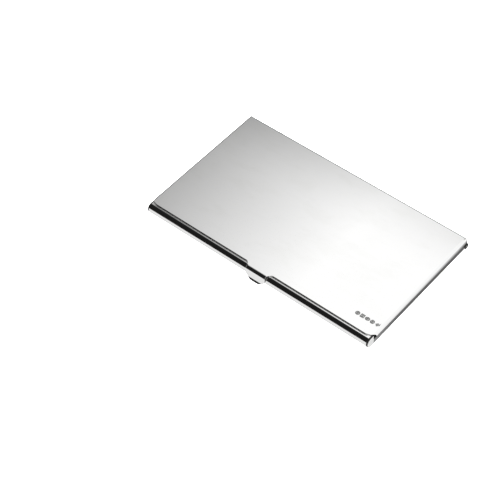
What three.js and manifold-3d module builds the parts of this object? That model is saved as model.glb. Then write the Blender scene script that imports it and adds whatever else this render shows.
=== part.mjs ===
// A slim hinged business card case in polished silver sheet.
// Millimetres, +Z up. X runs along the case, Y from the thumb tongue back to the hinge.
// Pieces are drawn in a working frame whose Y is 0 at the front of the rail, then moved together
// so that the origin is at the centre of the bottom of the closed case.

import * as THREE from 'three';
import { mergeVertices } from 'three/addons/utils/BufferGeometryUtils.js';
import Module from 'manifold-3d';

// --- Driving dimensions ---------------------------------------------------------------------

const caseLength = 96;
const caseDepth = 58;
const caseHeight = 4.9;
const sheet = 0.4;

const lidSetback = 1.8;
const lidBendRadius = 0.9;
const lidCornerRadius = 3.1;
const lidFlangeDepth = 2.0;
const lidGap = 0.1;

const tongueWidth = 8.4;
const tongueOffset = 0.95;
const tongueBendRadius = 1.35;
const tongueStandOff = 0.05;
const tongueDrop = 3.75;
const tongueCurlRadius = 0.6;
const tongueCurlAngle = 50;
const tongueLipLength = 0.4;
const tongueNeckRadius = 1.7;
const tongueEndRadius = 3.2;

const markCount = 5;
const markSize = 1.2;
const markPitch = 2.0;
const markDepth = 0.1;
const markSideInset = 5.75;
const markFrontInset = 5.55;

const railRadius = 1.8;
const railFootRadius = 2.4;
const railDepth = 3.4;
const railEndGap = 0.25;
const railBackGap = 0.05;

const trayBendRadius = 1.0;
const seamGap = 0.12;

const barrelRadius = 1.1;
const barrelProud = 0.45;
const barrelLift = 0.02;
const barrelClearance = 0.13;
const knuckleCount = 5;
const knuckleGap = 0.1;
const knuckleOverhang = 0.3;
const pinRadius = 0.5;
const pinClearance = 0.05;
const strapWidth = 0.5;

const springWidth = 24;
const springSheet = 0.25;
const springFootDepth = 7;
const springFootInset = 4;
const springLeafLength = 26;
const springLeafRise = 1.7;
const springGap = 0.05;
const rivetRadius = 0.7;
const rivetHeadRadius = 1.4;
const rivetHeadHeight = 0.45;
const rivetPitch = 14;
const rivetClearance = 0.05;

// --- Derived places -------------------------------------------------------------------------

const halfLength = caseLength / 2;
const railTop = caseHeight - sheet - lidGap;
const railFoot = Math.min(railFootRadius, railTop - railRadius);
const trayFront = railDepth + railBackGap;
const lidFlangeFoot = caseHeight - lidFlangeDepth;
const trayTop = lidFlangeFoot - seamGap;
const axisY = caseDepth + barrelProud - barrelRadius;
const axisZ = barrelRadius + barrelLift;
const trayRear = axisY - barrelRadius - barrelClearance;
const lidRearFoot = axisZ + barrelRadius + barrelClearance;
const cornerSweep = Math.sqrt(lidCornerRadius ** 2 - (lidCornerRadius - sheet) ** 2);
const cheekRear = lidSetback + lidCornerRadius - cornerSweep - seamGap;
const tongueFace = -(tongueStandOff + sheet);
const tongueBendY = tongueFace + tongueBendRadius;
const curlAngle = THREE.MathUtils.degToRad(tongueCurlAngle);
const lipFront = tongueFace - tongueCurlRadius * (1 - Math.cos(curlAngle))
  - tongueLipLength * Math.sin(curlAngle);
const barrelRear = axisY + barrelRadius;
const originY = (lipFront + barrelRear) / 2;

// --- Materials ------------------------------------------------------------------------------

const silver = { color: 0xdcdedf, roughness: 0.12, metalness: 1 };
const silverTube = { color: 0xd2d4d6, roughness: 0.2, metalness: 1 };
const wire = { color: 0xb4b6b8, roughness: 0.3, metalness: 1 };
const springSteel = { color: 0xc4c2bc, roughness: 0.28, metalness: 1 };

// --- Solids ---------------------------------------------------------------------------------

const wasm = await Module();
wasm.setup();

function solid(geometry) {
  const bare = geometry.index ? geometry.toNonIndexed() : geometry.clone();
  bare.deleteAttribute('normal');
  bare.deleteAttribute('uv');
  const merged = mergeVertices(bare, 1e-5);
  return new wasm.Manifold(new wasm.Mesh({
    numProp: 3,
    vertProperties: new Float32Array(merged.attributes.position.array),
    triVerts: new Uint32Array(merged.index.array),
  }));
}

function geometryOf(manifold) {
  const mesh = manifold.getMesh();
  const geometry = new THREE.BufferGeometry();
  geometry.setAttribute('position', new THREE.BufferAttribute(mesh.vertProperties, 3));
  geometry.setIndex(new THREE.BufferAttribute(mesh.triVerts, 1));
  geometry.computeVertexNormals();
  return geometry;
}

function extrude(shape, depth, curveSegments = 10) {
  return new THREE.ExtrudeGeometry(shape, { depth, curveSegments, bevelEnabled: false });
}

// A section drawn in (Y, Z) and run along X from x0 to x1.
function alongX(shape, x0, x1) {
  const turn = new THREE.Matrix4().makeBasis(
    new THREE.Vector3(0, 1, 0), new THREE.Vector3(0, 0, 1), new THREE.Vector3(1, 0, 0),
  );
  return solid(extrude(shape, x1 - x0).applyMatrix4(turn).translate(x0, 0, 0));
}

// A section drawn in (X, Z) and run along Y from y0 to y1.
function alongY(shape, y0, y1) {
  return solid(extrude(shape, y1 - y0).rotateX(Math.PI / 2).translate(0, y1, 0));
}

// An outline drawn in (X, Y) and run up from z0 to z1.
function alongZ(shape, z0, z1) {
  return solid(extrude(shape, z1 - z0).translate(0, 0, z0));
}

function polygon(points) {
  return new THREE.Shape(points.map(([u, v]) => new THREE.Vector2(u, v)));
}

function block(x0, x1, y0, y1, z0, z1) {
  const box = new THREE.BoxGeometry(x1 - x0, y1 - y0, z1 - z0);
  return solid(box.translate((x0 + x1) / 2, (y0 + y1) / 2, (z0 + z1) / 2));
}

// A round bar along X about the line (y, z).
function bar(radius, x0, x1, y, z, segments = 32) {
  const cylinder = new THREE.CylinderGeometry(radius, radius, x1 - x0, segments);
  return solid(cylinder.rotateZ(Math.PI / 2).translate((x0 + x1) / 2, y, z));
}

// A box section in (U, V) with its four corners rounded by the radii [low left, low right,
// high right, high left]; a radius of 0 leaves the corner square.
function roundedBox(u0, u1, v0, v1, [lowLeft, lowRight, highRight, highLeft]) {
  const shape = new THREE.Shape();
  shape.moveTo(u0 + lowLeft, v0);
  shape.lineTo(u1 - lowRight, v0);
  if (lowRight > 0) shape.absarc(u1 - lowRight, v0 + lowRight, lowRight, -Math.PI / 2, 0);
  shape.lineTo(u1, v1 - highRight);
  if (highRight > 0) shape.absarc(u1 - highRight, v1 - highRight, highRight, 0, Math.PI / 2);
  shape.lineTo(u0 + highLeft, v1);
  if (highLeft > 0) shape.absarc(u0 + highLeft, v1 - highLeft, highLeft, Math.PI / 2, Math.PI);
  shape.lineTo(u0, v0 + lowLeft);
  if (lowLeft > 0) shape.absarc(u0 + lowLeft, v0 + lowLeft, lowLeft, Math.PI, Math.PI * 1.5);
  return shape;
}

// --- Lid ------------------------------------------------------------------------------------

// The solid under the lid's outer skin, shrunk by the inset on every bent side. Its flat top
// starts where the tongue bends down.
function lidEnvelope(inset) {
  const bend = lidBendRadius - inset;
  const top = caseHeight - inset;
  const side = halfLength - inset;
  const along = roundedBox(-side, side, lidRearFoot - 1, top, [0, 0, bend, bend]);
  const front = tongueBendY - inset;
  const across = roundedBox(front, caseDepth - inset, lidRearFoot - 1, top, [0, 0, bend, 0]);
  return alongY(along, -1, caseDepth + 1).intersect(alongX(across, -caseLength, caseLength));
}

// The lid seen from above: rounded front corners, and fillets into the neck of the tongue.
function lidOutline() {
  const neckLeft = tongueOffset - tongueWidth / 2;
  const neckRight = tongueOffset + tongueWidth / 2;
  const neckY = lidSetback - tongueNeckRadius;
  const shape = new THREE.Shape();
  shape.moveTo(neckLeft, lipFront - 1);
  shape.lineTo(neckRight, lipFront - 1);
  shape.absarc(neckRight + tongueNeckRadius, neckY, tongueNeckRadius, Math.PI, Math.PI / 2, true);
  shape.lineTo(halfLength - lidCornerRadius, lidSetback);
  shape.absarc(halfLength - lidCornerRadius, lidSetback + lidCornerRadius, lidCornerRadius,
    -Math.PI / 2, 0);
  shape.lineTo(halfLength, caseDepth);
  shape.lineTo(-halfLength, caseDepth);
  shape.lineTo(-halfLength, lidSetback + lidCornerRadius);
  shape.absarc(lidCornerRadius - halfLength, lidSetback + lidCornerRadius, lidCornerRadius,
    Math.PI, Math.PI * 1.5);
  shape.lineTo(neckLeft - tongueNeckRadius, lidSetback);
  shape.absarc(neckLeft - tongueNeckRadius, neckY, tongueNeckRadius, Math.PI / 2, 0, true);
  return shape;
}

// The lid seen from the side: a shallow flange that deepens over the barrel at the rear.
function lidSide() {
  return polygon([
    [-1, lidFlangeFoot],
    [trayRear + barrelClearance, lidFlangeFoot],
    [trayRear + barrelClearance, lidRearFoot],
    [caseDepth + 1, lidRearFoot],
    [caseDepth + 1, caseHeight + 1],
    [-1, caseHeight + 1],
  ]);
}

// The tongue's section: over the rail, down its front, and out again in a curled lip.
function tongueSection() {
  const bendZ = caseHeight - tongueBendRadius;
  const curlY = tongueFace - tongueCurlRadius;
  const curlZ = caseHeight - tongueDrop;
  const rootY = tongueBendY + sheet;
  const lip = [-Math.sin(curlAngle) * tongueLipLength, -Math.cos(curlAngle) * tongueLipLength];
  const outer = tongueCurlRadius;
  const inner = tongueCurlRadius + sheet;
  const edge = (radius) => [
    curlY + radius * Math.cos(curlAngle) + lip[0],
    curlZ - radius * Math.sin(curlAngle) + lip[1],
  ];
  const shape = new THREE.Shape();
  shape.moveTo(rootY, caseHeight);
  shape.lineTo(tongueBendY, caseHeight);
  shape.absarc(tongueBendY, bendZ, tongueBendRadius, Math.PI / 2, Math.PI);
  shape.absarc(curlY, curlZ, outer, 0, -curlAngle, true);
  shape.lineTo(...edge(outer));
  shape.lineTo(...edge(inner));
  shape.absarc(curlY, curlZ, inner, -curlAngle, 0);
  shape.lineTo(tongueFace + sheet, bendZ);
  shape.absarc(tongueBendY, bendZ, tongueBendRadius - sheet, Math.PI, Math.PI / 2, true);
  shape.lineTo(rootY, caseHeight - sheet);
  return shape;
}

// The tongue, wide enough for its fillets; the lid's outline trims its sides.
function tongue() {
  const half = tongueWidth / 2;
  const wide = half + tongueNeckRadius;
  const strip = alongX(tongueSection(), tongueOffset - wide, tongueOffset + wide);
  const foot = roundedBox(tongueOffset - half, tongueOffset + half, 0, caseHeight / 2 + 1,
    [tongueEndRadius, tongueEndRadius, 0, 0]);
  const root = block(tongueOffset - wide, tongueOffset + wide, lipFront - 1, lidSetback,
    caseHeight / 2, caseHeight + 1);
  return strip.intersect(alongY(foot, lipFront - 1, lidSetback).add(root));
}

// One plain round recess of the decorative row.
function mark(index) {
  const x = halfLength - markSideInset + (index - (markCount - 1) / 2) * markPitch;
  const disc = new THREE.CylinderGeometry(markSize / 2, markSize / 2, markDepth * 2, 12);
  return solid(disc.rotateX(Math.PI / 2).translate(x, lidSetback + markFrontInset, caseHeight));
}

function lidShell() {
  let shell = lidEnvelope(0).subtract(lidEnvelope(sheet));
  shell = shell.intersect(alongX(lidSide(), -caseLength, caseLength));
  shell = shell.add(tongue()).intersect(alongZ(lidOutline(), 0, caseHeight + 1));
  for (let index = 0; index < markCount; index += 1) {
    shell = shell.subtract(mark(index));
  }
  return shell;
}

// --- Base -----------------------------------------------------------------------------------

// A rounded nose with a flat top and bottom behind it, which run back to the given depth.
function railOutline(inset, depth) {
  return roundedBox(inset, depth, inset, railTop - inset, [railFoot - inset, 0, 0, railRadius - inset]);
}

function frontRail() {
  const half = halfLength - sheet - railEndGap;
  const moulding = alongX(railOutline(0, railDepth), -half, half);
  return moulding.subtract(alongX(railOutline(sheet, railDepth + 1), -half - 1, half + 1));
}

// The solid inside the tray's outer skin, shrunk by the inset on every bent side.
function trayEnvelope(inset) {
  const bend = trayBendRadius - inset;
  const side = halfLength - inset;
  const along = roundedBox(-side, side, inset, trayTop + inset, [bend, bend, 0, 0]);
  const across = roundedBox(-1, trayRear - inset, inset, trayTop + inset, [0, bend, 0, 0]);
  return alongY(along, -1, caseDepth).intersect(alongX(across, -caseLength, caseLength));
}

// The end of a side wall, which closes the end of the rail and stops short of the lid's flange.
function railCheek(side) {
  const inner = side * (halfLength - sheet);
  const outer = side * halfLength;
  return alongX(railOutline(0, cheekRear), Math.min(inner, outer), Math.max(inner, outer));
}

function rivetX(side) {
  return side * rivetPitch / 2;
}

const springRear = trayRear - sheet - springFootInset;
const springRoot = springRear - springFootDepth;
const rivetY = springRear - springFootDepth / 2;

function rivetHole(side, z0, z1) {
  const radius = rivetRadius + rivetClearance;
  const cylinder = new THREE.CylinderGeometry(radius, radius, z1 - z0, 24);
  return solid(cylinder.rotateX(Math.PI / 2).translate(rivetX(side), rivetY, (z0 + z1) / 2));
}

function baseTray() {
  let tray = trayEnvelope(0).subtract(trayEnvelope(sheet));
  const inside = halfLength - sheet;
  tray = tray.subtract(block(-inside, inside, -2, trayFront, -1, caseHeight));
  tray = tray.subtract(block(-caseLength, caseLength, -2, cheekRear - sheet, -1, caseHeight));
  for (const side of [-1, 1]) {
    tray = tray.add(railCheek(side));
    tray = tray.subtract(rivetHole(side, -1, sheet + 1));
  }
  return tray;
}

// --- Hinge ----------------------------------------------------------------------------------

const hingeHalf = halfLength + knuckleOverhang;
const knuckleLength = (2 * hingeHalf - (knuckleCount - 1) * knuckleGap) / knuckleCount;
const knuckleNames = ['left', 'inner_left', 'centre', 'inner_right', 'right'];

function knuckle(index) {
  const x0 = -hingeHalf + index * (knuckleLength + knuckleGap);
  const x1 = x0 + knuckleLength;
  const onLid = index % 2 === 0;
  const strap0 = Math.max(x0, -halfLength);
  const strap1 = Math.min(x1, halfLength);
  const strap = onLid
    ? block(strap0, strap1, caseDepth - sheet, caseDepth, axisZ, lidRearFoot)
    : block(strap0, strap1, trayRear, axisY, axisZ - strapWidth, axisZ);
  const bore = bar(pinRadius + pinClearance, x0 - 1, x1 + 1, axisY, axisZ);
  return bar(barrelRadius, x0, x1, axisY, axisZ).add(strap).subtract(bore);
}

function hingePin() {
  return bar(pinRadius, -hingeHalf, hingeHalf, axisY, axisZ);
}

// --- Card spring ----------------------------------------------------------------------------

function springFoot() {
  const half = springWidth / 2;
  const low = sheet + springGap;
  let foot = block(-half, half, springRoot, springRear, low, low + springSheet);
  for (const side of [-1, 1]) {
    foot = foot.subtract(rivetHole(side, 0, caseHeight));
  }
  return foot;
}

// The leaf rises forward from the foot as a shallow arc and turns down again at its tip.
function springLeaf() {
  const half = springWidth / 2;
  const low = sheet + springGap;
  const rootY = springRoot - springGap;
  const steps = 14;
  const lower = [];
  const upper = [];
  for (let step = 0; step <= steps; step += 1) {
    const share = step / steps;
    const y = rootY - share * springLeafLength;
    const z = low + springLeafRise * Math.sin(share * Math.PI * 0.7);
    lower.push([y, z]);
    upper.unshift([y, z + springSheet]);
  }
  return alongX(polygon([...lower, ...upper]), -half, half);
}

// A domed rivet, its foot finished just short of the tray's underside.
function rivet(side) {
  const seat = sheet + springGap + springSheet + springGap;
  const steps = 6;
  const profile = [new THREE.Vector2(0, barrelLift), new THREE.Vector2(rivetRadius, barrelLift)];
  profile.push(new THREE.Vector2(rivetRadius, seat));
  for (let step = 0; step <= steps; step += 1) {
    const angle = (step / steps) * Math.PI / 2;
    profile.push(new THREE.Vector2(
      rivetHeadRadius * Math.cos(angle),
      seat + rivetHeadHeight * Math.sin(angle),
    ));
  }
  profile[profile.length - 1].x = 0;
  const turned = new THREE.LatheGeometry(profile, 24).rotateX(Math.PI / 2);
  return solid(turned.translate(rivetX(side), rivetY, 0));
}

// --- Assembly -------------------------------------------------------------------------------

const cardCase = new THREE.Group();
cardCase.position.set(0, -originY, 0);

function place(name, manifold, look) {
  const mesh = new THREE.Mesh(geometryOf(manifold), new THREE.MeshStandardMaterial(look));
  mesh.name = name;
  cardCase.add(mesh);
}

place('lid_shell', lidShell(), silver);
place('base_tray', baseTray(), silver);
place('front_rail', frontRail(), silver);
for (let index = 0; index < knuckleCount; index += 1) {
  place(`${index % 2 === 0 ? 'lid' : 'base'}_knuckle_${knuckleNames[index]}`, knuckle(index), silverTube);
}
place('hinge_pin', hingePin(), wire);
place('spring_foot', springFoot(), springSteel);
place('spring_leaf', springLeaf(), springSteel);
place('rivet_left', rivet(-1), silverTube);
place('rivet_right', rivet(1), silverTube);

const part = new THREE.Group();
part.add(cardCase);
part.updateMatrixWorld(true);

export default part;
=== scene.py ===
import math

import bmesh
import bpy
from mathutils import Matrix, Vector


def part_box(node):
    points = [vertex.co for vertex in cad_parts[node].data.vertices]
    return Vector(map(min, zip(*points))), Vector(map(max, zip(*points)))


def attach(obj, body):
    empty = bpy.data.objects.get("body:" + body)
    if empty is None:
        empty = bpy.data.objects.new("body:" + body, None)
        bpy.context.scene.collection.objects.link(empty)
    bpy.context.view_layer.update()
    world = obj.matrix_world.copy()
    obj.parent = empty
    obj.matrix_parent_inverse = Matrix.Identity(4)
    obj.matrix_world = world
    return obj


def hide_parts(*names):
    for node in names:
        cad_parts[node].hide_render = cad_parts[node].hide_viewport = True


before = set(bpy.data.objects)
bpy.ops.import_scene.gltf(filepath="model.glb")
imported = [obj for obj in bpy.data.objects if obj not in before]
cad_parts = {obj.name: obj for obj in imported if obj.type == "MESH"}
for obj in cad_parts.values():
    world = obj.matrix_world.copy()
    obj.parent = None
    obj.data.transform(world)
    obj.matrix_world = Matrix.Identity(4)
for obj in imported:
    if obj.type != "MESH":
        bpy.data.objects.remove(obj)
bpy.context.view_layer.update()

# The business card case, closed on a pale surface: a folded lid with a thumb tongue, a tray with
# a half-round front rail, a five-knuckle hinge and a riveted card spring. Metres throughout.

MM = 0.001

# ---------------------------------------------------------------- places read from the frame

LID_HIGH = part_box("lid_shell")[1]
TRAY_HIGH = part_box("base_tray")[1]
RAIL_LOW, RAIL_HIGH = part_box("front_rail")
LEAF_LOW, LEAF_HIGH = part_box("spring_leaf")
FOOT_LOW, FOOT_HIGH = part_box("spring_foot")
PIN_LOW, PIN_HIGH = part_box("hinge_pin")

HALF_LENGTH = LID_HIGH.x
FRONT = RAIL_LOW.y
REAR_WALL = LID_HIGH.y
TOP = LID_HIGH.z
RAIL_TOP = RAIL_HIGH.z
TRAY_REAR = TRAY_HIGH.y
AXIS_Y = (PIN_LOW.y + PIN_HIGH.y) / 2
AXIS_Z = (PIN_LOW.z + PIN_HIGH.z) / 2

# ---------------------------------------------------------------- sizes

SHEET = 0.4 * MM
SEAM_GAP = 0.12 * MM
BARREL_RADIUS = 1.1 * MM
BARREL_CLEAR = 0.13 * MM

# The lid's sides are at their full reach at the foot. FLANGE_LEAN is the share of it by which
# they would lean in at the height of the flat.
LID_BEND = 0.9 * MM
LID_SETBACK = 1.8 * MM
LID_CORNER = 3.1 * MM
LID_CORNER_RUNOUT = 0.2 * MM
LID_FLANGE = 2.0 * MM
LID_REAR_FOOT = AXIS_Z + BARREL_RADIUS + BARREL_CLEAR
FLANGE_LEAN = 0.13
LIP_ROLL = 0.42 * MM
LIP_ANGLE = math.radians(80)

TONGUE_X = 0.95 * MM
TONGUE_HALF = 4.2 * MM
TONGUE_NECK = 1.7 * MM
TONGUE_BEND = 1.35 * MM
TONGUE_FACE = FRONT - 0.45 * MM
TONGUE_DROP = 3.75 * MM
TONGUE_CURL = 0.6 * MM
TONGUE_CURL_ANGLE = math.radians(50)
TONGUE_LIP = 0.4 * MM
TONGUE_END = 3.2 * MM
TONGUE_CUT_MARGIN = 0.5 * MM

RAIL_NOSE = 1.8 * MM
RAIL_FOOT = 2.4 * MM
RAIL_DEPTH = 3.4 * MM
RAIL_BACK_GAP = 0.05 * MM

# One sheet in from the side, the lid's corner arc is CORNER_SWEEP ahead of its centre, rounded
# to a micrometre. A cheek ends one seam ahead of that place.
TRAY_BEND = 0.6 * MM
TRAY_TOP = TOP - LID_FLANGE - SEAM_GAP
TRAY_FRONT = FRONT + RAIL_DEPTH + RAIL_BACK_GAP
CORNER_SWEEP = 1.523 * MM
CHEEK_REAR = FRONT + LID_SETBACK + LID_CORNER - SEAM_GAP - CORNER_SWEEP
CHEEK_LEAN = math.tan(math.radians(2.3))
CHEEK_INNER = HALF_LENGTH - SHEET + CHEEK_LEAN * TOP
CHEEK_EDGE = 0.38 * MM
CHEEK_LAP = 0.2 * MM

# The marks are pressed rings with a raised middle, whose radii are shares of the outer one.
MARK_SIZE = 1.7 * MM
MARK_PITCH = 2.0 * MM
MARK_DEPTH = 0.09 * MM
MARK_ROW_X = HALF_LENGTH - 5.75 * MM
MARK_ROW_Y = FRONT + LID_SETBACK + 5.55 * MM
MARK_RING_INNER = 0.62
MARK_MIDDLE_OUTER = 0.42
MARK_MIDDLE_INNER = 0.08

# Widths to which sharp edges are rounded, and the angle from which an edge counts as sharp.
SHEET_EDGE = 0.05 * MM
RAIL_EDGE = 0.18 * MM
KNUCKLE_EDGE = 0.12 * MM
STRIP_EDGE = 0.03 * MM
SHARP_ANGLE = math.radians(35)

# Faces along each stretch of folded sheet. Neighbouring stretches share these, so they meet.
BEND_STEPS = 14
SIDE_STEPS = 12
BACK_STEPS = 30

# ---------------------------------------------------------------- mesh helpers


def arc(cu, cv, radius, start, stop, steps):
    """Points (u, v) on an arc about (cu, cv), angles in radians, both ends included."""
    points = []
    for i in range(steps + 1):
        angle = start + (stop - start) * i / steps
        points.append((cu + radius * math.cos(angle), cv + radius * math.sin(angle)))
    return points


def circle(cu, cv, radius, steps):
    """A full turn of arc, whose last point is its first again."""
    return arc(cu, cv, radius, 0, 2 * math.pi, steps)


def spread(low, high, steps):
    """Evenly spaced values from low to high, both included."""
    return [low + (high - low) * i / steps for i in range(steps + 1)]


def box_centre(low, high):
    """The middle of a box seen from above, (x, y)."""
    return (low.x + high.x) / 2, (low.y + high.y) / 2


def new_object(name, bm):
    """Makes a smooth object of bm, with points in one place joined, and frees bm."""
    bmesh.ops.remove_doubles(bm, verts=bm.verts, dist=1e-7)
    bmesh.ops.recalc_face_normals(bm, faces=bm.faces)
    for face in bm.faces:
        face.smooth = True
    mesh = bpy.data.meshes.new(name)
    bm.to_mesh(mesh)
    bm.free()
    piece = bpy.data.objects.new(name, mesh)
    bpy.context.scene.collection.objects.link(piece)
    return piece


def add_grid(bm, rows):
    """Joins rows of points, all of one length, with quads."""
    verts = [[bm.verts.new(point) for point in row] for row in rows]
    for a, b in zip(verts, verts[1:]):
        for i in range(len(a) - 1):
            bm.faces.new((a[i], a[i + 1], b[i + 1], b[i]))


def add_prism(bm, section, x0, x1):
    """A closed section of (y, z) points run along X, with its two ends closed."""
    ends = [[bm.verts.new((x, y, z)) for y, z in section] for x in (x0, x1)]
    count = len(section)
    for i in range(count):
        j = (i + 1) % count
        bm.faces.new((ends[0][i], ends[0][j], ends[1][j], ends[1][i]))
    bm.faces.new(ends[0])
    bm.faces.new(ends[1])


def face_flat(piece, up):
    """Turns the faces of an open sheet so that its flat faces up, or down when up is -1."""
    flat = max(piece.data.polygons, key=lambda polygon: polygon.area)
    if flat.normal.z * up < 0:
        piece.data.flip_normals()


def bake(piece):
    """Turns a piece's modifiers into its mesh."""
    evaluated = piece.evaluated_get(bpy.context.evaluated_depsgraph_get())
    mesh = bpy.data.meshes.new_from_object(evaluated)
    piece.modifiers.clear()
    piece.data = mesh


def solidify(piece, thickness):
    """Thickens an open sheet to the inside of its outer face."""
    modifier = piece.modifiers.new("thickness", "SOLIDIFY")
    modifier.thickness = thickness
    modifier.offset = -1.0
    modifier.use_even_offset = True
    bake(piece)


def combine(piece, other, operation):
    """Joins or cuts piece with other, and removes other."""
    modifier = piece.modifiers.new("combine", "BOOLEAN")
    modifier.object = other
    modifier.operation = operation
    modifier.solver = "EXACT"
    bpy.context.view_layer.update()
    bake(piece)
    bpy.data.objects.remove(other)


def soften_edges(piece, width, segments=2, material=-1):
    """Rounds the sharp edges, as tumbling and polishing leave them, and evens the shading. The
    rounded edges take a material's index, or their neighbours' when it is -1."""
    bevel = piece.modifiers.new("soft_edges", "BEVEL")
    bevel.width = width
    bevel.segments = segments
    bevel.limit_method = "ANGLE"
    bevel.angle_limit = SHARP_ANGLE
    bevel.material = material
    even = piece.modifiers.new("even_shading", "WEIGHTED_NORMAL")
    even.keep_sharp = True


def paint(piece, materials, choose=lambda polygon: 0):
    """Gives a piece its materials, and each face the one whose index choose returns."""
    piece.data.materials.clear()
    for material in materials:
        piece.data.materials.append(material)
    for polygon in piece.data.polygons:
        polygon.material_index = choose(polygon)


def faces_sideways(polygon):
    """Whether a face points within 60 degrees of the X axis."""
    return abs(polygon.normal.x) > 0.5


def finish_piece(piece, body, node):
    """Smooths a piece, puts it under its body and hides the CAD node that it takes the place of."""
    for polygon in piece.data.polygons:
        polygon.use_smooth = True
    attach(piece, body)
    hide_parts(node)


# ---------------------------------------------------------------- materials

# The noises in a metal: wiping marks in its colour and its roughness, the slow swell of the
# sheet and the fine polishing lines. A ramp's edges say where the noise starts to count and
# where it counts in full.
WIPED_NOISE = {"scale": 90, "detail": 4, "stretch": (1, 2.2, 1)}
WIPED_EDGES = (0.45, 0.75)
PATCH_NOISE = {"scale": 160, "detail": 5, "stretch": (1, 1.6, 1)}
PATCH_EDGES = (0.48, 0.72)
SWELL_NOISE = {"scale": 55, "detail": 1}
LINE_NOISE = {"scale": 2600, "detail": 2}


def link(tree, source, target):
    tree.links.new(source, target)


def math_node(tree, operation, first, second):
    """A calculation on two values, each of them a number or a node's output."""
    node = tree.nodes.new("ShaderNodeMath")
    node.operation = operation
    for socket, value in zip(node.inputs, (first, second)):
        if isinstance(value, (int, float)):
            socket.default_value = value
        else:
            link(tree, value, socket)
    return node.outputs[0]


def ramp_node(tree, value, edges, levels, smooth=True):
    """Goes from the first level to the second as value goes from the first edge to the second."""
    node = tree.nodes.new("ShaderNodeMapRange")
    node.interpolation_type = "SMOOTHSTEP" if smooth else "LINEAR"
    node.clamp = True
    link(tree, value, node.inputs["Value"])
    node.inputs["From Min"].default_value = edges[0]
    node.inputs["From Max"].default_value = edges[1]
    node.inputs["To Min"].default_value = levels[0]
    node.inputs["To Max"].default_value = levels[1]
    return node.outputs[0]


def noise_node(tree, coordinates, scale, detail, stretch=(1, 1, 1)):
    """Noise with so many swells per metre. A smaller stretch along an axis draws it out there."""
    mapping = tree.nodes.new("ShaderNodeMapping")
    mapping.inputs["Scale"].default_value = stretch
    link(tree, coordinates, mapping.inputs["Vector"])
    noise = tree.nodes.new("ShaderNodeTexNoise")
    noise.inputs["Scale"].default_value = scale
    noise.inputs["Detail"].default_value = detail
    link(tree, mapping.outputs[0], noise.inputs["Vector"])
    return noise.outputs["Fac"]


def bump_node(tree, height, depth):
    """Relief of the given depth from a height of 0 to 1."""
    node = tree.nodes.new("ShaderNodeBump")
    node.inputs["Strength"].default_value = 1.0
    node.inputs["Distance"].default_value = depth
    link(tree, height, node.inputs["Height"])
    return node


def metal(name, bright, dull, roughness, smudge, waviness, scratch, grain=(1, 1, 1)):
    """A polished metal. bright and dull are its clean and wiped colours, smudge is how much
    rougher it is where it was wiped, waviness is the slow swell of the sheet and scratch the
    depth of the fine polishing lines, which run along the axis where grain is smallest."""
    material = bpy.data.materials.new(name)
    material.use_nodes = True
    tree = material.node_tree
    shader = tree.nodes["Principled BSDF"]
    shader.inputs["Metallic"].default_value = 1.0
    place = tree.nodes.new("ShaderNodeTexCoord").outputs["Object"]

    wiped = noise_node(tree, place, **WIPED_NOISE)
    mix = tree.nodes.new("ShaderNodeMix")
    mix.data_type = "RGBA"
    mix.inputs["A"].default_value = (*bright, 1)
    mix.inputs["B"].default_value = (*dull, 1)
    link(tree, ramp_node(tree, wiped, WIPED_EDGES, (0, 1)), mix.inputs["Factor"])
    link(tree, mix.outputs["Result"], shader.inputs["Base Color"])

    patches = noise_node(tree, place, **PATCH_NOISE)
    rough = ramp_node(tree, patches, PATCH_EDGES, (roughness, roughness + smudge))
    link(tree, rough, shader.inputs["Roughness"])

    swell = noise_node(tree, place, **SWELL_NOISE)
    lines = noise_node(tree, place, **LINE_NOISE, stretch=grain)
    swell_bump = bump_node(tree, swell, waviness)
    line_bump = bump_node(tree, lines, scratch)
    link(tree, swell_bump.outputs[0], line_bump.inputs["Normal"])
    link(tree, line_bump.outputs[0], shader.inputs["Normal"])
    return material


POLISHED = metal("polished_silver", (0.95, 0.95, 0.945), (0.93, 0.93, 0.92),
                 roughness=0.03, smudge=0.02, waviness=0.0015 * MM, scratch=0.00004 * MM,
                 grain=(1, 0.04, 1))
RAIL_SILVER = metal("rail_silver", (0.94, 0.94, 0.935), (0.91, 0.91, 0.9),
                    roughness=0.05, smudge=0.03, waviness=0.001 * MM, scratch=0.00005 * MM,
                    grain=(0.04, 1, 1))
HINGE_SILVER = metal("hinge_silver", (0.88, 0.88, 0.87), (0.8, 0.795, 0.78),
                     roughness=0.1, smudge=0.08, waviness=0.001 * MM, scratch=0.0002 * MM,
                     grain=(0.05, 1, 1))
WIRE = metal("drawn_wire", (0.7, 0.7, 0.69), (0.58, 0.58, 0.57),
             roughness=0.25, smudge=0.1, waviness=0.001 * MM, scratch=0.0004 * MM,
             grain=(0.05, 1, 1))
SPRING_STEEL = metal("spring_strip", (0.74, 0.73, 0.7), (0.64, 0.63, 0.6),
                     roughness=0.16, smudge=0.1, waviness=0.001 * MM, scratch=0.0006 * MM,
                     grain=(1, 0.03, 1))
RECESS = metal("mark_recess", (0.3, 0.3, 0.295), (0.2, 0.2, 0.2),
               roughness=0.3, smudge=0.1, waviness=0.001 * MM, scratch=0.0006 * MM)
# Painted shade: a near-black metal drawn into the seams beside the rail's ends, on the tongue's cut
# sides and on the hinge's outer ends, where the case lies in shade.
PAINTED_SHADE = metal("painted_seam_shade", (0.07, 0.068, 0.065), (0.03, 0.03, 0.028),
                roughness=0.5, smudge=0.1, waviness=0.001 * MM, scratch=0.0006 * MM)

# ---------------------------------------------------------------- folded sheet


def fold(flat, rise, bend, end):
    """A folded side's profile from the flat outwards, as (reach past the flat, z) points. It
    goes up when rise is 1 and down when it is -1, and ends at the height of end."""
    points = [(bend * math.sin(a), flat + rise * bend * (1 - math.cos(a)))
              for a in spread(0, math.pi / 2, BEND_STEPS)]
    return points + [(bend, end)]


def add_panel(bm, outline, z):
    """The flat of a sheet, as one face."""
    bm.faces.new([bm.verts.new((x, y, z)) for x, y in outline])


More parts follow.
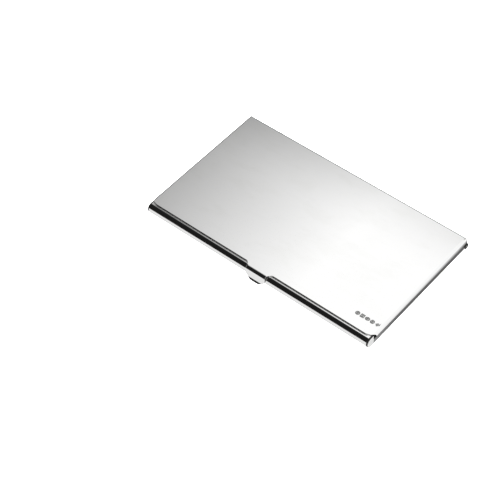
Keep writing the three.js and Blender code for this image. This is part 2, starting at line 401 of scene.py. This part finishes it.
def add_folds(bm, profile, side, back, stations, starts):
    """Folds up or down the two sides and the back of a flat. profile has (reach, z) points,
    stations are the Y values of the side rows, and starts gives the front Y of each profile
    point on a side. The corners are mitred."""
    for sign in (-1, 1):
        rows = [[(sign * (side + reach), start, z)
                 for (reach, z), start in zip(profile, starts)]]
        for y in stations[1:-1]:
            rows.append([(sign * (side + reach), y, z) for reach, z in profile])
        rows.append([(sign * (side + reach), back + reach, z) for reach, z in profile])
        add_grid(bm, rows)
    add_grid(bm, [[(share * (side + reach), back + reach, z)
                   for share in spread(-1, 1, BACK_STEPS)] for reach, z in profile])


def folded_outline(side, back, stations):
    """The outline of a flat along its folds: back on the right, across, and front on the left."""
    outline = [(side, y) for y in stations[1:]]
    outline += [(share * side, back) for share in spread(1, -1, BACK_STEPS)[1:]]
    outline += [(-side, y) for y in reversed(stations[1:-1])]
    return outline


# ---------------------------------------------------------------- lid


def lid_front_stations():
    """The lid's front edge from the tongue to the right corner: plan point, outward normal and
    how far round its lip is rolled there, from 0 to 1."""
    stations = []
    edge = FRONT + LID_SETBACK
    cx, cy = TONGUE_X + TONGUE_HALF + TONGUE_NECK, edge - TONGUE_NECK
    first = math.pi - math.asin((TONGUE_FACE + TONGUE_BEND - cy) / TONGUE_NECK)
    for a in spread(first, math.pi / 2, 12):
        share = (first - a) / (first - math.pi / 2)
        stations.append(((cx + TONGUE_NECK * math.cos(a), cy + TONGUE_NECK * math.sin(a)),
                         (-math.cos(a), -math.sin(a)), share))
    corner = HALF_LENGTH - LID_CORNER
    for x in spread(cx, corner, 20)[1:]:
        stations.append(((x, edge), (0, -1), 1.0))
    limit = math.asin((HALF_LENGTH - LID_BEND - corner) / LID_CORNER)
    for a in spread(0, limit, 14)[1:]:
        share = min(1.0, (limit - a) / (limit / 2))
        stations.append(((corner + LID_CORNER * math.sin(a),
                          edge + LID_CORNER - LID_CORNER * math.cos(a)),
                         (math.sin(a), -math.cos(a)), share))
    return stations


def mirrored(stations):
    """The same edge on the left, where the tongue's own offset moves the fillet."""
    moved = []
    reach = HALF_LENGTH - LID_CORNER
    fillet_end = TONGUE_X + TONGUE_HALF + TONGUE_NECK
    left_end = fillet_end - 2 * TONGUE_X
    for (x, y), (nx, ny), share in stations:
        if x <= fillet_end:
            x -= 2 * TONGUE_X
        elif x < reach:
            x = left_end + (x - fillet_end) * (reach - left_end) / (reach - fillet_end)
        moved.append(((-x, y), (-nx, ny), share))
    return moved


def rolled_rows(stations):
    """The rolled front lip: one row of points per station, from the flat to the free edge."""
    rows = []
    for (x, y), (nx, ny), share in stations:
        turn = LIP_ANGLE * share
        row = []
        for a in spread(0, turn, 8):
            out = LIP_ROLL * (math.sin(a) - math.sin(turn))
            row.append((x + nx * out, y + ny * out, TOP - LIP_ROLL * (1 - math.cos(a))))
        rows.append(row)
    return rows


def tongue_point(run):
    """The tongue's outer face, (y, z), at a run of sheet past the start of its bend."""
    bend = TONGUE_BEND * math.pi / 2
    if run < bend:
        a = run / TONGUE_BEND
        return TONGUE_FACE + TONGUE_BEND * (1 - math.sin(a)), TOP - TONGUE_BEND * (1 - math.cos(a))
    run -= bend
    straight = TONGUE_DROP - TONGUE_BEND
    if run < straight:
        return TONGUE_FACE, TOP - TONGUE_BEND - run
    run -= straight
    a = min(run / TONGUE_CURL, TONGUE_CURL_ANGLE)
    rest = max(run - TONGUE_CURL * TONGUE_CURL_ANGLE, 0)
    return (TONGUE_FACE - TONGUE_CURL * (1 - math.cos(a)) - rest * math.sin(a),
            TOP - TONGUE_DROP - TONGUE_CURL * math.sin(a) - rest * math.cos(a))


def tongue_half_width(run, total):
    """The tongue's half width: the rest of its neck fillets, straight sides, rounded foot."""
    half = TONGUE_HALF
    edge_to_bend = FRONT + LID_SETBACK - TONGUE_FACE - TONGUE_BEND
    neck = TONGUE_NECK - edge_to_bend - run
    if neck > 0:
        half += TONGUE_NECK - math.sqrt(TONGUE_NECK ** 2 - neck ** 2)
    rise = TONGUE_END - (total - run)
    if rise > 0:
        half -= TONGUE_END - math.sqrt(max(TONGUE_END ** 2 - rise ** 2, 0))
    return half


def tongue_rows():
    """The tongue's outer face, one row of points per run, from its bend to its rounded foot."""
    total = (TONGUE_BEND * math.pi / 2 + TONGUE_DROP - TONGUE_BEND
             + TONGUE_CURL * TONGUE_CURL_ANGLE + TONGUE_LIP)
    runs = spread(0, total - TONGUE_END, 60)
    runs += [total - TONGUE_END * (1 - math.sin(a)) for a in spread(0, math.pi / 2, 16)[1:]]
    rows = []
    for run in runs:
        y, z = tongue_point(run)
        half = tongue_half_width(run, total)
        rows.append([(TONGUE_X + share * half, y, z) for share in spread(-1, 1, 18)])
    return rows


def ring_prism(bm, x, y, turn, count, outer, inner, stretch):
    """An upright ring through the lid's surface, with count sides outside and inside."""
    angles = [turn + 2 * math.pi * k / count for k in range(count)]
    loops = []
    for z in (TOP - MARK_DEPTH, TOP + MARK_DEPTH):
        for radius in (outer, inner):
            loops.append([bm.verts.new((x + radius * stretch * math.cos(a),
                                        y + radius * math.sin(a), z)) for a in angles])
    low_out, low_in, high_out, high_in = loops
    for k in range(count):
        j = (k + 1) % count
        for a, b in ((low_out, high_out), (high_out, high_in), (high_in, low_in), (low_in, low_out)):
            bm.faces.new((a[k], a[j], b[j], b[k]))


def mark_cutters():
    """A row of plain shapes to press into the lid: a ringed disc, a square, an oval, a hexagon
    and a diamond, each with a raised middle. A shape is its sides, turn, scale and stretch."""
    bm = bmesh.new()
    shapes = ((24, 0, 1.0, 1.0), (4, math.pi / 4, 1.3, 1.0), (24, 0, 0.9, 1.2),
              (6, 0, 1.08, 1.0), (4, 0, 0.94, 1.0))
    for index, (count, turn, scale, stretch) in enumerate(shapes):
        x = MARK_ROW_X + (index - (len(shapes) - 1) / 2) * MARK_PITCH
        radius = MARK_SIZE / 2 * scale
        for outer, inner in ((1.0, MARK_RING_INNER), (MARK_MIDDLE_OUTER, MARK_MIDDLE_INNER)):
            ring_prism(bm, x, MARK_ROW_Y, turn, count, radius * outer, radius * inner, stretch)
    return new_object("mark_cutters", bm)


def lid_material(polygon):
    """2, the painted shade, on the tongue's cut sides, 1 inside the pressed marks and 0 on the rest
    of the lid.
    """
    x, y, z = polygon.center
    on_tongue = y < FRONT + TONGUE_BEND and abs(x - TONGUE_X) < TONGUE_HALF + TONGUE_CUT_MARGIN
    if on_tongue and faces_sideways(polygon):
        return 2
    in_row = abs(x - MARK_ROW_X) < 3 * MARK_PITCH and abs(y - MARK_ROW_Y) < MARK_SIZE
    on_flat = x < HALF_LENGTH - LID_BEND - LIP_ROLL
    pressed = TOP - 2 * MARK_DEPTH < z < TOP - 0.2 * MARK_DEPTH
    return 1 if in_row and on_flat and pressed else 0


def make_lid():
    bm = bmesh.new()
    side, back = HALF_LENGTH - LID_BEND, REAR_WALL - LID_BEND
    flange_foot = TOP - LID_FLANGE
    profile = [(reach * (1 - FLANGE_LEAN * (z - flange_foot) / LID_FLANGE), z)
               for reach, z in fold(TOP, -1, LID_BEND, flange_foot)]

    # The sides start on the front corners' arcs, and have ears down to the barrel at the back.
    corner_x = HALF_LENGTH - LID_CORNER
    corner_y = FRONT + LID_SETBACK + LID_CORNER
    starts = [corner_y - math.sqrt(max(LID_CORNER ** 2 - (side + reach - corner_x) ** 2, 0))
              for reach, z in profile]
    ear_from = TRAY_REAR + BARREL_CLEAR
    stations = [starts[0]] + spread(corner_y + LID_CORNER_RUNOUT, ear_from, SIDE_STEPS) + [back]
    add_folds(bm, profile, side, back, stations, starts)
    wall = (flange_foot, LID_REAR_FOOT)
    for x in (-HALF_LENGTH, HALF_LENGTH):
        add_grid(bm, [[(x, y, z) for z in wall] for y in (ear_from, REAR_WALL)])
    add_grid(bm, [[(share * HALF_LENGTH, REAR_WALL, z) for share in spread(-1, 1, BACK_STEPS)]
                  for z in wall])

    right = lid_front_stations()
    right_rows, left_rows = rolled_rows(right), rolled_rows(mirrored(right))
    tongue = tongue_rows()
    for rows in (right_rows, left_rows, tongue):
        add_grid(bm, rows)

    outline = [row[0][:2] for row in reversed(left_rows)]
    outline += [point[:2] for point in tongue[0][1:-1]]
    outline += [row[0][:2] for row in right_rows]
    outline += folded_outline(side, back, stations)
    add_panel(bm, outline, TOP)
    lid = new_object("lid_sheet", bm)
    face_flat(lid, 1)
    solidify(lid, SHEET)
    combine(lid, mark_cutters(), "DIFFERENCE")
    paint(lid, (POLISHED, RECESS, PAINTED_SHADE), lid_material)
    soften_edges(lid, SHEET_EDGE)
    finish_piece(lid, "lid", "lid_shell")


# ---------------------------------------------------------------- tray and rail


def rail_side(inset, rear):
    """The rail's outline seen from the side, shrunk by inset, from its foot round to its top."""
    points = [(rear, inset)]
    points += arc(FRONT + RAIL_FOOT, RAIL_FOOT, RAIL_FOOT - inset, -math.pi / 2, -math.pi, 32)
    points += arc(FRONT + RAIL_NOSE, RAIL_TOP - RAIL_NOSE, RAIL_NOSE - inset, math.pi,
                  math.pi / 2, 32)
    points.append((rear, RAIL_TOP - inset))
    return points


def make_cheek(sign):
    """The end plate of the rail, its outer edge rounded over, with a foot that joins it to the
    tray's side wall."""
    slices = [(CHEEK_INNER, 0.0)]
    for a in spread(0, math.pi / 2, 8):
        slices.append((HALF_LENGTH - CHEEK_EDGE + CHEEK_EDGE * math.sin(a),
                       CHEEK_EDGE * (1 - math.cos(a))))
    foot_rear = TRAY_FRONT + CHEEK_LAP
    bm = bmesh.new()
    rings = []
    for x, inset in slices:
        section = rail_side(inset, CHEEK_REAR)
        section += [(CHEEK_REAR, TRAY_TOP), (foot_rear, TRAY_TOP), (foot_rear, TRAY_BEND),
                    (CHEEK_REAR, TRAY_BEND)]
        rings.append([bm.verts.new((sign * (x - CHEEK_LEAN * z), y, z)) for y, z in section])
    count = len(rings[0])
    for a, b in zip(rings, rings[1:]):
        for i in range(count):
            j = (i + 1) % count
            bm.faces.new((a[i], a[j], b[j], b[i]))
    bm.faces.new(rings[0])
    bm.faces.new(rings[-1])
    return new_object("cheek", bm)


def tray_material(polygon):
    """1, the painted shade of the seam, on the cheeks' inner sides, which face the ends of the rail,
    and 0 elsewhere.
    """
    inner = abs(polygon.center.x) < CHEEK_INNER
    return 1 if inner and polygon.center.y < TRAY_FRONT - SEAM_GAP else 0


def make_tray():
    bm = bmesh.new()
    side, back = HALF_LENGTH - TRAY_BEND, TRAY_REAR - TRAY_BEND
    profile = fold(0.0, 1, TRAY_BEND, TRAY_TOP)
    starts = [TRAY_FRONT if side + reach < HALF_LENGTH - SHEET else CHEEK_REAR
              for reach, z in profile]
    stations = spread(TRAY_FRONT, back, SIDE_STEPS)
    add_folds(bm, profile, side, back, stations, starts)
    outline = [(-side, TRAY_FRONT), (side, TRAY_FRONT)]
    outline += folded_outline(side, back, stations)
    add_panel(bm, outline, 0.0)
    tray = new_object("tray_sheet", bm)
    face_flat(tray, -1)
    solidify(tray, SHEET)
    for sign in (-1, 1):
        combine(tray, make_cheek(sign), "UNION")
    paint(tray, (POLISHED, PAINTED_SHADE), tray_material)
    soften_edges(tray, SHEET_EDGE)
    finish_piece(tray, "base", "base_tray")


def make_rail():
    rear = FRONT + RAIL_DEPTH
    section = rail_side(0, rear) + list(reversed(rail_side(SHEET, rear)))
    bm = bmesh.new()
    add_prism(bm, section, RAIL_LOW.x, RAIL_HIGH.x)
    rail = new_object("rail_moulding", bm)
    # The rail's ends and its rounded edges take the painted shade of the seams against the cheeks.
    paint(rail, (RAIL_SILVER, PAINTED_SHADE), lambda polygon: 1 if faces_sideways(polygon) else 0)
    soften_edges(rail, RAIL_EDGE, segments=4, material=1)
    finish_piece(rail, "base", "front_rail")


# ---------------------------------------------------------------- hinge

BORE_RADIUS = 0.55 * MM
STRAP_REACH = 0.8 * MM
STRAP_DROP = 0.5 * MM
PIN_DOME = 0.12 * MM


def make_knuckle(name, body):
    """A length of tube, joined by a strap to the rear wall of the lid or of the tray."""
    low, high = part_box(name)
    crossings = [x for x in (-HALF_LENGTH, HALF_LENGTH) if low.x < x < high.x]
    stations = sorted([low.x, high.x] + crossings)
    outer, inner = [[[(x, y, z) for y, z in circle(AXIS_Y, AXIS_Z, radius, 64)]
                     for x in stations] for radius in (BARREL_RADIUS, BORE_RADIUS)]
    bm = bmesh.new()
    add_grid(bm, outer)
    add_grid(bm, inner)
    add_grid(bm, [outer[0], inner[0]])
    add_grid(bm, [outer[-1], inner[-1]])
    knuckle = new_object(name.replace("knuckle", "tube"), bm)
    if body == "lid":
        front, rear = REAR_WALL - SHEET, REAR_WALL
        foot, head = AXIS_Z + STRAP_REACH, LID_REAR_FOOT
    else:
        front, rear = TRAY_REAR, AXIS_Y - STRAP_REACH
        foot, head = AXIS_Z - STRAP_DROP, AXIS_Z
    strap = bmesh.new()
    add_prism(strap, [(front, foot), (rear, foot), (rear, head), (front, head)],
              max(low.x, -HALF_LENGTH), min(high.x, HALF_LENGTH))
    combine(knuckle, new_object("strap", strap), "UNION")
    # The hinge's outer ends, past the case's sides, and the knuckles' rounded edges take the painted
    # shade.
    paint(knuckle, (HINGE_SILVER, PAINTED_SHADE),
          lambda polygon: 1 if abs(polygon.center.x) > HALF_LENGTH else 0)
    soften_edges(knuckle, KNUCKLE_EDGE, segments=3, material=1)
    finish_piece(knuckle, body, name)


def make_pin():
    radius = (PIN_HIGH.y - PIN_LOW.y) / 2
    profile = [(PIN_LOW.x + PIN_DOME * (1 - math.sin(a)), radius * math.cos(a))
               for a in spread(math.pi / 2, 0, 6)]
    profile += [(PIN_HIGH.x - PIN_DOME * (1 - math.sin(a)), radius * math.cos(a))
                for a in spread(0, math.pi / 2, 6)]
    bm = bmesh.new()
    add_grid(bm, [[(x, y, z) for y, z in circle(AXIS_Y, AXIS_Z, r, 32)] for x, r in profile])
    pin = new_object("pin_wire", bm)
    paint(pin, (WIRE,))
    finish_piece(pin, "base", "hinge_pin")


# ---------------------------------------------------------------- card spring

# The leaf follows the first part of a wave, LEAF_ARCH long, and its corners are rounded off
# over the last of its length.
LEAF_THICKNESS = 0.25 * MM
LEAF_ARCH = 0.7 * math.pi
LEAF_TIP_FROM = 0.94
LEAF_TIP_ROUND = 1.6 * MM
RIVET_SHANK = 0.7 * MM
RIVET_HEAD = 0.45 * MM
RIVET_RIM = 0.05 * MM
HOLE_RADIUS = 0.75 * MM
HOLE_CUT = 4 * MM


def make_leaf():
    rise = LEAF_HIGH.z - LEAF_LOW.z - LEAF_THICKNESS
    rows = []
    for share in spread(0, 1, 32):
        y = LEAF_HIGH.y - share * (LEAF_HIGH.y - LEAF_LOW.y)
        z = LEAF_LOW.z + LEAF_THICKNESS + rise * math.sin(share * LEAF_ARCH)
        nip = max(0.0, (share - LEAF_TIP_FROM) / (1 - LEAF_TIP_FROM))
        half = LEAF_HIGH.x - LEAF_TIP_ROUND * (1 - math.sqrt(1 - nip ** 2))
        rows.append([(u * half, y, z) for u in spread(-1, 1, 12)])
    bm = bmesh.new()
    add_grid(bm, rows)
    leaf = new_object("spring_blade", bm)
    face_flat(leaf, 1)
    solidify(leaf, LEAF_THICKNESS)
    paint(leaf, (SPRING_STEEL,))
    soften_edges(leaf, STRIP_EDGE)
    finish_piece(leaf, "card_spring", "spring_leaf")


def make_foot():
    bm = bmesh.new()
    section = [(FOOT_LOW.y, FOOT_LOW.z), (FOOT_HIGH.y, FOOT_LOW.z), (FOOT_HIGH.y, FOOT_HIGH.z),
               (FOOT_LOW.y, FOOT_HIGH.z)]
    add_prism(bm, section, FOOT_LOW.x, FOOT_HIGH.x)
    foot = new_object("spring_foot_strip", bm)
    for name in ("rivet_left", "rivet_right"):
        hole = bmesh.new()
        bmesh.ops.create_cone(hole, cap_ends=True, segments=32, radius1=HOLE_RADIUS,
                              radius2=HOLE_RADIUS, depth=HOLE_CUT)
        middle = (*box_centre(*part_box(name)), (FOOT_LOW.z + FOOT_HIGH.z) / 2)
        bmesh.ops.translate(hole, verts=hole.verts, vec=middle)
        combine(foot, new_object("hole", hole), "DIFFERENCE")
    paint(foot, (SPRING_STEEL,))
    soften_edges(foot, STRIP_EDGE)
    finish_piece(foot, "base", "spring_foot")


def make_rivet(name):
    low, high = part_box(name)
    cx, cy = box_centre(low, high)
    head = (high.x - low.x) / 2
    seat = high.z - RIVET_HEAD
    rim = seat + RIVET_RIM
    profile = [(0, low.z), (RIVET_SHANK, low.z), (RIVET_SHANK, seat), (head - RIVET_RIM, seat)]
    profile += [(head * math.cos(a), rim + (high.z - rim) * math.sin(a))
                for a in spread(0, math.pi / 2, 12)]
    bm = bmesh.new()
    add_grid(bm, [[(x, y, z) for x, y in circle(cx, cy, r, 32)] for r, z in profile])
    rivet = new_object(name + "_head", bm)
    paint(rivet, (HINGE_SILVER,))
    finish_piece(rivet, "base", name)


# ---------------------------------------------------------------- studio

CAMERA_AZIMUTH = math.radians(39.216)
CAMERA_ELEVATION = math.radians(48.548)
CAMERA_LENS = 123.18
CAMERA_SENSOR = 36.0
CAMERA_FROM_RAIL = Vector((223.63, -281.28, 427.11)) * MM

FLOOR_HALF = 3.0
FLOOR_GAP = 0.02 * MM
LAMPS = (("key", (-0.3, 0.5, 1.1), 1.2, 34), ("fill", (0.5, -0.3, 1.3), 1.4, 30))

# The studio that the silver reflects is drawn by direction, as ramps of (edges, levels). Above
# the table's edge the panel lies by the direction's slopes x / z and y / z, with z taken as no
# less than LEAST_HEIGHT. Its left edge leans by a share of y / z, up to a limit. The walls, the
# surroundings and the table lie by x, y and z themselves.
LEAST_HEIGHT = 0.02
PANEL_LEAN = 0.42
PANEL_LEAN_LIMIT = 0.68
PANEL_LEFT = (-0.476, -0.206), (0.0, 1.06)
PANEL_NEAR = (0.03, 0.12), (0.0, 1.0)
PANEL_FAR = (0.745, 0.95), (1.0, 0.12)
LEFT_WALL = (-0.45, -0.8), (0.0, 0.2)
RIGHT_WALL = (0.25, 0.5), (0.0, 1.0)
SURROUNDINGS = (-0.3, 0.0), (0.012, 0.3)
TABLE_SKEW_X, TABLE_SKEW_Y = 0.8, 0.6
TABLE_SHADE = (-0.1, 0.5), (0.82, 0.14)
GLEAM_Y = 0.544
GLEAM_SLOPE = 1.15
GLEAM_RISE = (-0.8, -0.71), (0.0, 1.0)
GLEAM_SIDE = (0.1, 0.4), (0.0, 1.0)
TABLE_EDGE_NEAR = (-0.4, 0.2), (-0.16, 0.0)
TABLE_EDGE_FAR = (0.5, 0.8), (0.0, -0.25)
TABLE_EDGE_BLEND = (-0.05, 0.0), (1.0, 0.0)


def make_camera():
    data = bpy.data.cameras.new("camera")
    data.lens = CAMERA_LENS
    data.sensor_width = CAMERA_SENSOR
    data.clip_start = 0.01
    data.clip_end = 20.0
    camera = bpy.data.objects.new("camera", data)
    bpy.context.scene.collection.objects.link(camera)
    back = Vector((math.sin(CAMERA_AZIMUTH) * math.cos(CAMERA_ELEVATION),
                   -math.cos(CAMERA_AZIMUTH) * math.cos(CAMERA_ELEVATION),
                   math.sin(CAMERA_ELEVATION)))
    camera.location = CAMERA_FROM_RAIL + Vector((0, FRONT, 0))
    camera.rotation_mode = "QUATERNION"
    camera.rotation_quaternion = (-back).to_track_quat("-Z", "Y")
    bpy.context.scene.camera = camera


def make_floor():
    """A pale floor with a light of its own. The silver reflects the world's table instead."""
    bm = bmesh.new()
    bmesh.ops.create_grid(bm, x_segments=1, y_segments=1, size=FLOOR_HALF)
    floor = new_object("floor", bm)
    floor.location.z = -FLOOR_GAP
    floor.visible_glossy = False
    material = bpy.data.materials.new("pale_surface")
    material.use_nodes = True
    shader = material.node_tree.nodes["Principled BSDF"]
    shader.inputs["Base Color"].default_value = (0.9, 0.9, 0.9, 1)
    shader.inputs["Roughness"].default_value = 0.9
    shader.inputs["Specular IOR Level"].default_value = 0.0
    shader.inputs["Emission Color"].default_value = (1, 1, 1, 1)
    shader.inputs["Emission Strength"].default_value = 0.75
    floor.data.materials.append(material)


def make_lights():
    """Broad overhead lamps for the floor. The case itself reflects the studio in the world."""
    for name, place, size, power in LAMPS:
        data = bpy.data.lights.new(name, "AREA")
        data.shape = "SQUARE"
        data.size = size
        data.energy = power
        lamp = bpy.data.objects.new(name, data)
        lamp.location = place
        lamp.rotation_mode = "QUATERNION"
        lamp.rotation_quaternion = (-Vector(place)).to_track_quat("-Z", "Y")
        lamp.visible_glossy = False
        bpy.context.scene.collection.objects.link(lamp)


def panel_level(tree, x, y, z):
    """Above the table: a wide soft panel overhead and behind, fading to the left and to its far
    edge, a wall on each side, and surroundings that are dark on the left and dim on the right."""
    height = math_node(tree, "MAXIMUM", z, LEAST_HEIGHT)
    across = math_node(tree, "DIVIDE", x, height)
    along = math_node(tree, "DIVIDE", y, height)
    leaning = math_node(tree, "MINIMUM", along, PANEL_LEAN_LIMIT)
    slant = math_node(tree, "ADD", across, math_node(tree, "MULTIPLY", leaning, PANEL_LEAN))
    fade = ramp_node(tree, slant, *PANEL_LEFT, smooth=False)
    near = ramp_node(tree, along, *PANEL_NEAR)
    far = ramp_node(tree, along, *PANEL_FAR)
    panel = math_node(tree, "MULTIPLY", fade, math_node(tree, "MULTIPLY", near, far))
    left_wall = ramp_node(tree, x, *LEFT_WALL)
    right_wall = ramp_node(tree, x, *RIGHT_WALL)
    surroundings = ramp_node(tree, x, *SURROUNDINGS)
    return math_node(tree, "MAXIMUM", math_node(tree, "MAXIMUM", panel, right_wall),
                     math_node(tree, "MAXIMUM", left_wall, surroundings))


def table_level(tree, x, y, z):
    """The table below, pale at the front left, darker to the back right, a gleam on the right."""
    skew = math_node(tree, "ADD", math_node(tree, "MULTIPLY", x, TABLE_SKEW_X),
                     math_node(tree, "MULTIPLY", y, TABLE_SKEW_Y))
    shade = ramp_node(tree, skew, *TABLE_SHADE)
    past = math_node(tree, "SUBTRACT", y, GLEAM_Y)
    depth = math_node(tree, "MULTIPLY", past, GLEAM_SLOPE)
    rise = ramp_node(tree, math_node(tree, "SUBTRACT", z, depth), *GLEAM_RISE)
    gleam = math_node(tree, "MULTIPLY", rise, ramp_node(tree, x, *GLEAM_SIDE))
    return math_node(tree, "MAXIMUM", shade, gleam)


def make_world():
    """The studio that the silver reflects, white light at a level for each direction."""
    world = bpy.data.worlds.new("studio")
    world.use_nodes = True
    bpy.context.scene.world = world
    tree = world.node_tree
    background = tree.nodes["Background"]
    direction = tree.nodes.new("ShaderNodeSeparateXYZ")
    link(tree, tree.nodes.new("ShaderNodeTexCoord").outputs["Generated"], direction.inputs[0])
    x, y, z = direction.outputs

    table_edge = math_node(tree, "ADD", ramp_node(tree, y, *TABLE_EDGE_NEAR),
                           ramp_node(tree, y, *TABLE_EDGE_FAR))
    above_edge = math_node(tree, "SUBTRACT", z, table_edge)
    blend = tree.nodes.new("ShaderNodeMix")
    blend.data_type = "FLOAT"
    link(tree, ramp_node(tree, above_edge, *TABLE_EDGE_BLEND), blend.inputs["Factor"])
    link(tree, panel_level(tree, x, y, z), blend.inputs["A"])
    link(tree, table_level(tree, x, y, z), blend.inputs["B"])
    link(tree, blend.outputs["Result"], background.inputs["Strength"])
    background.inputs["Color"].default_value = (1, 1, 1, 1)


# ---------------------------------------------------------------- build

make_camera()
make_lid()
make_tray()
make_rail()
for node, knuckle_body in (("lid_knuckle_left", "lid"), ("base_knuckle_inner_left", "base"),
                           ("lid_knuckle_centre", "lid"), ("base_knuckle_inner_right", "base"),
                           ("lid_knuckle_right", "lid")):
    make_knuckle(node, knuckle_body)
make_pin()
make_leaf()
make_foot()
for node in ("rivet_left", "rivet_right"):
    make_rivet(node)

make_floor()
make_lights()
make_world()
bpy.context.scene.view_settings.view_transform = "Standard"
